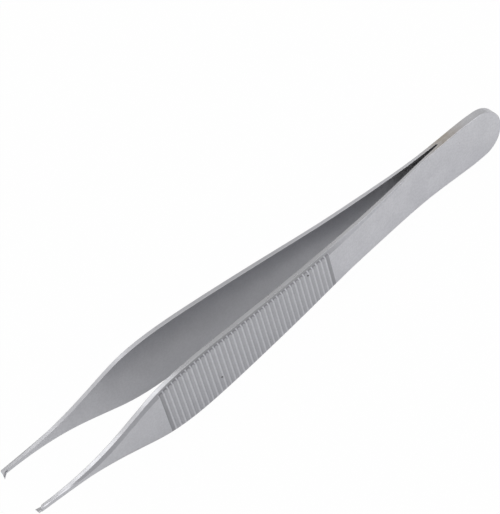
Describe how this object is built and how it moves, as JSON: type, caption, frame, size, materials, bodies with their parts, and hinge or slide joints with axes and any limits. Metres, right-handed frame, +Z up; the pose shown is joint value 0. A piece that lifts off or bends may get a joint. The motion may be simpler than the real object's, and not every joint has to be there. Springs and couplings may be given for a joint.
{
  "type": "thumb forceps",
  "caption": "Toothed tissue forceps: two bowed spring arms welded at a rounded head, with broad serrated grips and slender tips whose single tooth closes between two.",
  "frame": {"origin": "bottom centre of the bounding box: on the surface that the forceps lie on, midway along them and midway between the arms", "axes": "+X from the tips to the welded head, +Y from the single tooth arm to the double tooth arm, +Z up, across the width of the arms"},
  "size_m": [0.1204, 0.014, 0.0131],
  "materials": {
    "satin_steel": "satin, lightly blasted stainless steel"
  },
  "bodies": {
    "root": {"single_tooth_arm": "satin_steel", "double_tooth_arm": "satin_steel"}
  },
  "joints": []
}
